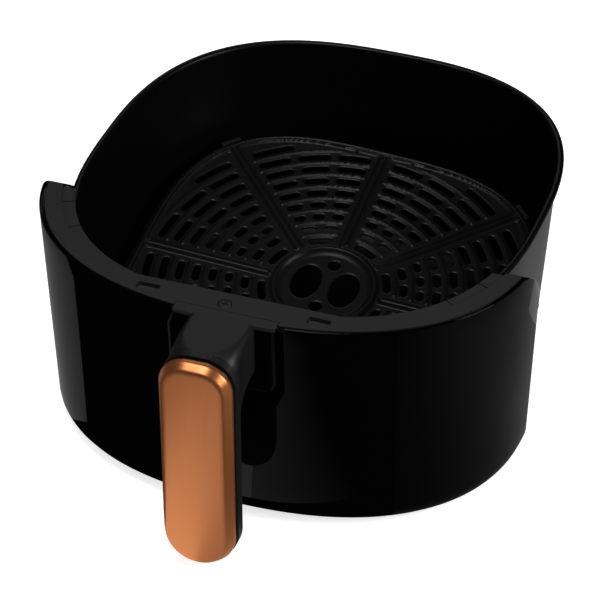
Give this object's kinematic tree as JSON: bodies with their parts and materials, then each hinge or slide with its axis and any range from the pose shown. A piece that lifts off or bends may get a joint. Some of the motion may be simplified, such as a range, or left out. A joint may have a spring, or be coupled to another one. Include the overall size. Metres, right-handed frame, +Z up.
{
  "type": "air fryer drawer",
  "caption": "Pull-out air fryer drawer: deep rounded-square pan, gloss front shell, upright handle with a copper cover and a lift-out perforated crisper plate.",
  "frame": {"origin": "under the middle of the pan, on the plane the drawer rests on", "axes": "+Z up; the handle is on the -Y side, which is the front; +X is to the right seen from the front"},
  "size_m": [0.2846, 0.3403, 0.139],
  "materials": {
    "nonstick": "satin non-stick coating on aluminium",
    "gloss_shell": "high gloss black",
    "matt_trim": "fine matt grain",
    "handle_plastic": "soft satin black",
    "copper_cover": "satin copper-coloured metal skin",
    "plate_coating": "satin non-stick coating on steel",
    "silicone": "matt silicone",
    "steel": "zinc-plated steel",
    "black_steel": "blackened steel"
  },
  "bodies": {
    "drawer": {"pan": "nonstick", "front_shell": "gloss_shell", "collar": "matt_trim", "handle_mount_plate": "matt_trim", "handle_body": "handle_plastic", "grip_trim_ring": "gloss_shell", "grip_cover": "copper_cover", "pan_bracket": "steel", "bracket_rivets": "steel", "bracket_screws": "steel", "handle_core": "steel", "handle_screws": "steel", "collar_screw": "black_steel", "latch_striker_left": "black_steel", "latch_striker_right": "black_steel"},
    "crisper": {"crisper_plate": "plate_coating", "bumper_back_right": "silicone", "bumper_back_left": "silicone", "bumper_front_left": "silicone", "bumper_front_right": "silicone"}
  },
  "joints": [
    {"name": "crisper_lift", "type": "slide", "parent": "drawer", "child": "crisper", "axis": [0, 0, 1], "range_m": [0, 0.15]}
  ]
}
